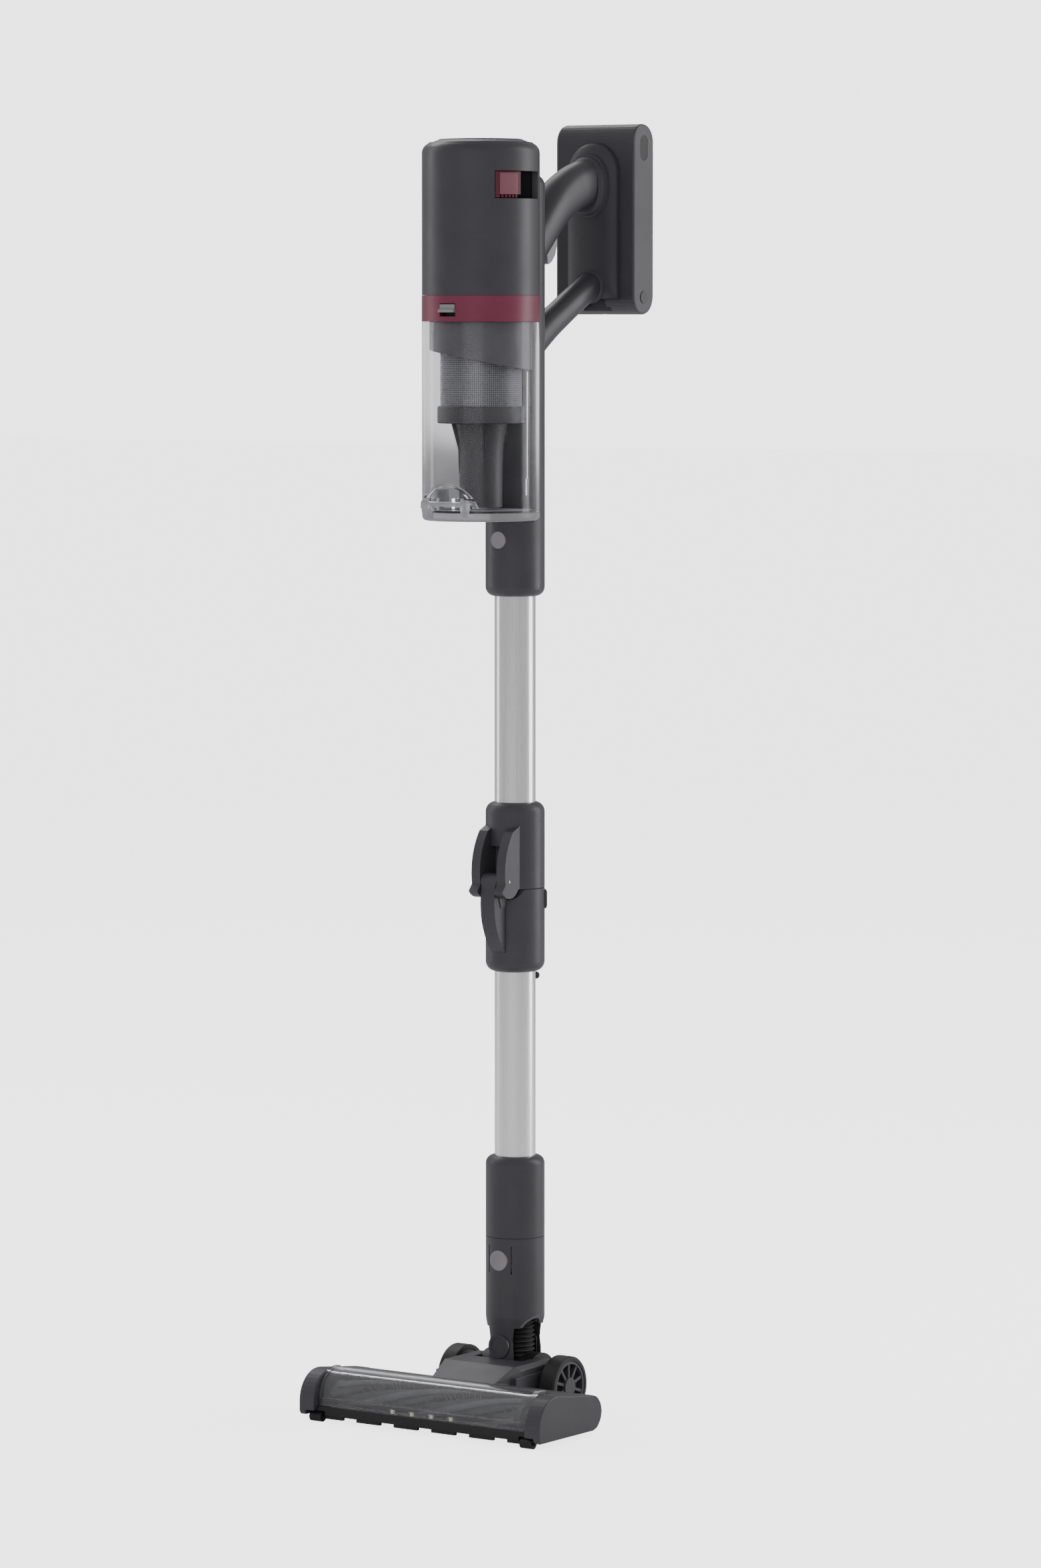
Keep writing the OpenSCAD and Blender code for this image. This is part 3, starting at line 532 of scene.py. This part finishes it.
def slider():
    """Power slider: a raised face painted paler as a highlight, over a body painted darker as shade, with a
    row of teeth along its foot.
    """
    low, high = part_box("side_slider")
    z0, z1 = low.z, high.z
    foot = z0 + 2.6 * MM
    a0, a1 = SLIDE_START + 0.6, SLIDE_START + 28.6
    inner, outer = UNIT_R - 5.4 * MM, UNIT_R - 0.35 * MM
    teeth = 5
    pitch = (a1 - a0 - 8.5) / teeth
    upper, tooth = block_outline(inner, outer, foot, z1), block_outline(inner, outer, z0, foot)
    parts = [swept(MOTOR, upper, start=a0, sweep=a1 - a0, segments=24),
             swept(MOTOR, tooth, start=a0, sweep=4.4, segments=4)]
    for k in range(teeth):
        parts.append(swept(MOTOR, tooth, start=a0 + 6 + pitch * k, sweep=pitch * 0.55, segments=3))
    body = mesh_piece("slider_body", *joined(parts), MAROON_PAINTED_SHADE, "side_slider", "maroon_plastic",
                      ["side_slider"])
    bevelled(body, 0.35 * MM)
    raised = block_outline(outer - 0.4 * MM, outer + 0.3 * MM, foot + 0.2 * MM, z1 - 1.2 * MM)
    face = swept(MOTOR, raised, start=a0 + 4.6, sweep=a1 - a0 - 8.4, segments=18)
    bevelled(mesh_piece("slider_face", *face, MAROON_PAINTED_HIGHLIGHT, "side_slider", "maroon_plastic"), 0.25 * MM)


def slider_pocket():
    """Near-black liner with almost no shine behind the power slider: painted shade for its deep recess."""
    low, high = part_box("side_slider")
    outline = block_outline(UNIT_R - 5.95 * MM, UNIT_R - 5.45 * MM, low.z - 0.7 * MM, high.z + 0.7 * MM)
    liner = swept(MOTOR, outline, start=SLIDE_START, sweep=SLIDE_END - SLIDE_START, segments=40)
    mesh_piece("slider_track_painted_shade", *liner, TRACK_PAINTED_SHADE, "main_unit", "black_plastic")


def cap_fillet():
    """Ring that eases the housing's shoulder up to the round cap."""
    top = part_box("top_cap")[1].z
    shoulder = top - 3 * MM
    rim = top - 0.9 * MM
    outline = [(35.2 * MM, shoulder - 1 * MM), (45 * MM, shoulder - 1 * MM), (44 * MM, shoulder + 0.1 * MM),
               (40.5 * MM, shoulder + 0.6 * MM), (38 * MM, rim - 0.5 * MM),
               (36.6 * MM, rim), (35.2 * MM, rim)]
    mesh_piece("cap_fillet", *swept(MOTOR, outline), CHARCOAL, "main_unit", "charcoal_plastic", angle=50)


def latch():
    """Ring latch: a grey block with a ledge under it, in a dark recess in the band."""
    low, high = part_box("ring_latch")
    front = -UNIT_R - 2.6 * MM + MOTOR.y
    face = -UNIT_R + MOTOR.y

    def box(x, y0, y1, z0, z1):
        """Points and faces of a block from -x to x."""
        corners = [Vector((sx * x, y, z)) for sx in (-1, 1) for y in (y0, y1) for z in (z0, z1)]
        return corners, [[0, 1, 3, 2], [4, 6, 7, 5], [0, 4, 5, 1], [2, 3, 7, 6], [0, 2, 6, 4], [1, 5, 7, 3]]

    ledge_z = low.z + 1.1 * MM
    block = box(7.4 * MM, face - 0.3 * MM, face + 3.5 * MM, ledge_z + 2.6 * MM, high.z - 1.2 * MM)
    ledge = box(7.9 * MM, front, face + 3.0 * MM, ledge_z + 0.3 * MM, ledge_z + 2.9 * MM)
    obj = mesh_piece("ring_latch_block", *joined([block, ledge]), LATCH, "ring_latch", "grey_plastic",
                     ["ring_latch"])
    bevelled(obj, 0.35 * MM)
    foot, top = BAND_LOW.z + 3.0 * MM, BAND_HIGH.z - 4.0 * MM
    recess = block_outline(UNIT_R - 5.8 * MM, UNIT_R - 5.3 * MM, foot, top)
    liner = swept(MOTOR, recess, start=-11, sweep=22, segments=12)
    mesh_piece("latch_recess", *liner, BLACK, "main_unit", "black_plastic")


def screen():
    """Screen of crossing steel wires around a plain dark sleeve."""
    low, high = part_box("mesh_screen")
    radius = (high.x - low.x) / 2
    columns, rows = 120, 38
    verts, faces = [], []
    for k in range(rows + 1):
        z = low.z + (high.z - low.z) * k / rows
        verts += [around(MOTOR, radius - 0.35 * MM, 360 * i / columns, z) for i in range(columns)]
    for k in range(rows):
        for i in range(columns):
            j = (i + 1) % columns
            faces.append([k * columns + i, k * columns + j, (k + 1) * columns + j, (k + 1) * columns + i])
    obj = mesh_piece("screen_mesh", verts, faces, WIRE, "main_unit", "steel", ["mesh_screen"])
    wires = obj.modifiers.new("wires", "WIREFRAME")
    wires.thickness = 0.55 * MM
    wires.use_replace = True
    core = swept(MOTOR, block_outline(radius - 1.9 * MM, radius - 1.2 * MM, low.z, high.z))
    mesh_piece("screen_core", *core, SCREEN_CORE, "main_unit", "steel")


# height in mm of the cone's foot, where its outlines start
CONE_FOOT = 783


def cyclone():
    """Collar and tapered tube under the screen, with a waisted skirt and thin fins, coloured darker than
    the charcoal as painted shade inside the bin.
    """
    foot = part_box("cyclone_cone")[0].z

    def level(height):
        """Z in metres of a height in mm above the floor."""
        return foot + (height - CONE_FOOT) * MM

    outline = [(16.3, 783), (18.3, 783.2), (18.5, 820), (18.9, 832), (20.0, 842), (21.6, 849),
               (22.4, 854.3), (36.2, 854.3), (37, 855), (37, 867.6), (36.4, 868.8), (33, 868.8),
               (20, 858), (16.3, 840)]
    skirt = swept(MOTOR, [(r * MM, level(h)) for r, h in outline])
    mesh_piece("cyclone_skirt", *skirt, CONE_PAINTED_SHADE, "main_unit", "charcoal_plastic", ["cyclone_cone"])
    for k, azimuth in enumerate((44, 134, 224, 314)):
        fin = [(18.0, 812), (18.9, 812), (19.6, 832), (25.5, 854.2), (19, 854.2)]
        piece = swept(MOTOR, [(r * MM, level(h)) for r, h in fin], start=azimuth, sweep=3.4, segments=2)
        mesh_piece(f"cyclone_fin_{k + 1}", *piece, CONE_PAINTED_SHADE, "main_unit", "charcoal_plastic")


def bin_rib():
    """Thin guide rib moulded inside the clear bin."""
    inner = UNIT_R - 2.5 * MM
    outline = block_outline(inner - 1.2 * MM, inner, BIN_LOW.z + 36 * MM, BIN_HIGH.z - 42 * MM)
    rib = swept(MOTOR, outline, start=90.2, sweep=1.4, segments=2)
    mesh_piece("bin_rib", *rib, RIB, "bin", "smoky_clear")
    hook = block_outline(inner - 1.6 * MM, inner, BIN_LOW.z + 22 * MM, BIN_LOW.z + 36 * MM)
    foot = swept(MOTOR, hook, start=88.9, sweep=1.6, segments=2)
    mesh_piece("bin_rib_foot", *foot, RIB, "bin", "smoky_clear")


# ---------- hoses ----------

def ribbed_outline(radius, wall, z0, z1, ribs):
    """Closed outline of a corrugated hose."""
    outline = []
    per_rib = 8
    for k in range(ribs * per_rib + 1):
        wave = 0.5 - 0.5 * math.cos(2 * math.pi * k / per_rib)
        outline.append((radius - wall + wall * wave, z0 + (z1 - z0) * k / (ribs * per_rib)))
    return outline + [(radius - wall - 1 * MM, z1), (radius - wall - 1 * MM, z0)]


def hoses():
    """Ribbed hoses at the neck and at the elbow."""
    neck_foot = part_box("neck_hose")[0].z + 4 * MM
    latch_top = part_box("elbow_latch")[1].z
    for node, pair, ribs, bend_z in (("neck_hose", ("tilt_yoke", "lower_wand"), 13, neck_foot),
                                     ("elbow_hose", ("lower_wand", "main_unit"), 11, latch_top)):
        low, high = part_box(node)
        radius = (high.x - low.x) / 2
        skin = swept(WAND, ribbed_outline(radius, 2.6 * MM, low.z, high.z, ribs), segments=72)
        obj = mesh_piece(node + "_ribs", *skin, RUBBER, pair[0], "black_rubber", [node], angle=70,
                         rides=False)
        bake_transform(obj)


# ---------- elbow ----------

def latch_guard():
    """Two thin wings on the lower half that stand beside the elbow's push plate."""
    low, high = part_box("elbow_lower")
    radius = (high.x - low.x) / 2
    top = high.z - 17 * MM
    outline = [(radius - 0.4 * MM, top - 16 * MM), (radius + 1.2 * MM, top - 16 * MM),
               (radius + 2.1 * MM, top - 14 * MM), (radius + 2.1 * MM, top - 2 * MM),
               (radius + 1.3 * MM, top), (radius - 0.4 * MM, top)]
    for name, start in (("right", 118), ("left", 200)):
        wing = swept(WAND, outline, start=start, sweep=42, segments=20)
        mesh_piece(f"latch_guard_{name}", *wing, CHARCOAL_SOFT, "lower_wand", "charcoal_plastic", angle=50)


# ---------- head window ----------

def window_lip():
    """Bright lip along the lower edge of the head's window, thinned at its ends."""
    edge_y, edge_z, tallness, count = -139.7, 21, 1.3, 12
    stations = ((-109, 0.15), (-107.5, 0.45), (-100, 0.5), (99, 0.5), (106.5, 0.45), (108, 0.15))
    rings = []
    for x, r in stations:
        turns = [2 * math.pi * i / count for i in range(count)]
        rings.append([WAND + Vector((x, edge_y + r * math.cos(a), edge_z + tallness * r * math.sin(a))) * MM
                      for a in turns])
    mesh_piece("window_lip", *lofted(rings), RIB, "floor_head", "smoky_clear", angle=60)


# ---------- brush ----------

def brush_tufts():
    """Rows of nylon tufts and soft strips wound along the brush roller."""
    axis = centre("brush_bristles")
    span_low, span_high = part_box("brush_bristles")
    reach = (span_high.z - span_low.z) / 2 - 0.2 * MM
    core = 12 * MM
    length = span_high.x - span_low.x
    twist = 220
    seed = 7
    rng = random.Random(seed)
    verts, faces = [], []

    def blade(x, angle, width, tip):
        """One flat tuft of bristles from the core out to tip, leaning a little at random."""
        a = math.radians(angle)
        out = Vector((0, -math.cos(a), math.sin(a)))
        side = Vector((0, math.sin(a), math.cos(a)))
        along = Vector((1, 0, 0))
        foot = Vector((x, axis.y, axis.z)) + out * (core - 0.4 * MM)
        sway = side * rng.uniform(-0.5, 0.5) * MM
        lean = along * rng.uniform(-0.6, 0.6) * MM
        head = Vector((x, axis.y, axis.z)) + out * tip + sway + lean
        base = len(verts)
        for place, w in ((foot, width), (head, width * 0.45)):
            verts.extend([place + along * w, place + side * w, place - along * w, place - side * w])
        for i in range(4):
            j = (i + 1) % 4
            faces.append([base + i, base + j, base + 4 + j, base + 4 + i])
        faces.append([base + 4, base + 5, base + 6, base + 7])
        faces.append([base + 3, base + 2, base + 1, base])

    rows, tufts, blades = 4, 74, 4
    for row in range(rows):
        for k in range(tufts):
            t = (k + 0.5) / tufts
            for _ in range(blades):
                x = span_low.x + length * t + rng.uniform(-1.0, 1.0) * MM
                x = max(span_low.x + 1.2 * MM, min(span_high.x - 1.2 * MM, x))
                blade(x, 90 * row + twist * t + rng.uniform(-4, 4), rng.uniform(0.35, 0.6) * MM,
                      reach - rng.uniform(0.1, 1.4) * MM)
    mesh_piece("bristle_tufts", verts, faces, BRISTLE, "brush", "bristle_nylon", ["brush_bristles"],
               angle=60)
    strip_lift, strip_height, strip_spread = 1.6 * MM, 2.2 * MM, 14
    steps = 60
    parts = []
    for row in range(rows):
        rings = []
        for k in range(steps + 1):
            t = k / steps
            x = span_low.x + 1 * MM + (length - 2 * MM) * t
            ring = []
            for i in range(10):
                b = 2 * math.pi * i / 10
                angle = math.radians(90 * row + 45 + twist * t + strip_spread * math.cos(b))
                radius = core + strip_lift + strip_height * math.sin(b)
                y, z = axis.y - radius * math.cos(angle), axis.z + radius * math.sin(angle)
                ring.append(Vector((x, y, z)))
            rings.append(ring)
        parts.append(lofted(rings))
    mesh_piece("soft_strips", *joined(parts), PLUSH, "brush", "bristle_nylon", angle=60)


grip()
trigger()
brace()
mount_column()
slider()
slider_pocket()
cap_fillet()
latch()
screen()
cyclone()
bin_rib()
hoses()
latch_guard()
window_lip()
brush_tufts()


# ---------- stage ----------

# strength of the surroundings: as light, through clear plastic, and as the camera sees them
WORLD_LIGHT, WORLD_THROUGH, WORLD_SEEN = 0.42, 1.6, 3.2
# glow of the floor, for the camera only
FLOOR_GLOW = 2.7
FLOOR_HALF_WIDTH = 30
# degrees from the front towards +X
VIEW_AZIMUTH = 34.24


def floor_and_light():
    """Pale floor and an even studio light; the camera sees both brighter than they light the object."""
    mesh = bpy.data.meshes.new("floor")
    bm = bmesh.new()
    bmesh.ops.create_grid(bm, x_segments=2, y_segments=2, size=FLOOR_HALF_WIDTH)
    bm.to_mesh(mesh)
    bm.free()
    floor = bpy.data.objects.new("floor", mesh)
    bpy.context.scene.collection.objects.link(floor)
    mat, tree, shader, add = new_material("pale_floor")
    shader.inputs["Base Color"].default_value = (0.85, 0.85, 0.85, 1)
    shader.inputs["Roughness"].default_value = 0.9
    shader.inputs["Specular IOR Level"].default_value = 0.1
    path = add("ShaderNodeLightPath")
    glow = add("ShaderNodeMath", operation="MULTIPLY")
    glow.inputs[1].default_value = FLOOR_GLOW
    tree.links.new(path.outputs["Is Camera Ray"], glow.inputs[0])
    shader.inputs["Emission Color"].default_value = (1, 1, 1, 1)
    tree.links.new(glow.outputs[0], shader.inputs["Emission Strength"])
    floor.data.materials.append(mat)
    world = bpy.data.worlds.new("studio")
    bpy.context.scene.world = world
    world.use_nodes = True
    tree = world.node_tree
    path = tree.nodes.new("ShaderNodeLightPath")
    seen = tree.nodes.new("ShaderNodeMix")
    seen.inputs["A"].default_value = WORLD_LIGHT
    seen.inputs["B"].default_value = WORLD_THROUGH
    tree.links.new(path.outputs["Is Transmission Ray"], seen.inputs["Factor"])
    direct = tree.nodes.new("ShaderNodeMix")
    direct.inputs["B"].default_value = WORLD_SEEN
    tree.links.new(path.outputs["Is Camera Ray"], direct.inputs["Factor"])
    tree.links.new(seen.outputs["Result"], direct.inputs["A"])
    background = tree.nodes["Background"]
    background.inputs["Color"].default_value = (1, 1, 1, 1)
    tree.links.new(direct.outputs["Result"], background.inputs["Strength"])


def lamp(name, turn, height, distance, size, power, target=(0, 0, 0.6), mirrored=True):
    """A soft box, turn degrees to the right of the camera; mirrored says whether glossy faces show it."""
    data = bpy.data.lights.new(name, "AREA")
    data.shape = "RECTANGLE"
    data.size, data.size_y = size
    data.energy = power
    obj = bpy.data.objects.new(name, data)
    obj.visible_glossy = mirrored
    a = math.radians(VIEW_AZIMUTH + turn)
    obj.location = (distance * math.sin(a), -distance * math.cos(a), height)
    aim = Vector(target) - obj.location
    obj.rotation_euler = aim.to_track_quat("-Z", "Y").to_euler()
    bpy.context.scene.collection.objects.link(obj)


floor_and_light()
lamp("front_left", turn=-16, height=1.5, distance=3.2, size=(2.4, 2.6), power=44, mirrored=False)
lamp("right_side", turn=100, height=1.2, distance=2.4, size=(1.0, 2.6), power=36)
lamp("left_side", turn=-112, height=1.3, distance=2.6, size=(0.35, 2.4), power=13)
lamp("above", turn=-155, height=3.0, distance=2.6, size=(2.6, 0.16), power=28, target=(0, -0.1, 0))


# ---------- camera ----------

CAMERA_DISTANCE = 5.031
CAMERA_HEIGHT = 0.950
CAMERA_SIDE = 0.0046
CAMERA_PITCH = 4.61606
SENSOR_MM = 36.0
LENS_MM = 134.7822


def photo_camera():
    """Camera at the photograph's angle: right of the front by the azimuth, looking slightly down."""
    azimuth = math.radians(VIEW_AZIMUTH)
    pitch = math.radians(CAMERA_PITCH)
    right = Vector((math.cos(azimuth), math.sin(azimuth), 0))
    back = Vector((math.sin(azimuth), -math.cos(azimuth), 0))
    data = bpy.data.cameras.new("photo_camera")
    data.sensor_width = SENSOR_MM
    data.lens = LENS_MM
    data.clip_start, data.clip_end = 0.05, 100
    cam = bpy.data.objects.new("photo_camera", data)
    cam.location = WAND + right * CAMERA_SIDE + back * CAMERA_DISTANCE + Vector((0, 0, CAMERA_HEIGHT))
    look = -back * math.cos(pitch) - Vector((0, 0, math.sin(pitch)))
    cam.rotation_euler = look.to_track_quat("-Z", "Y").to_euler()
    bpy.context.scene.collection.objects.link(cam)
    bpy.context.scene.camera = cam


photo_camera()
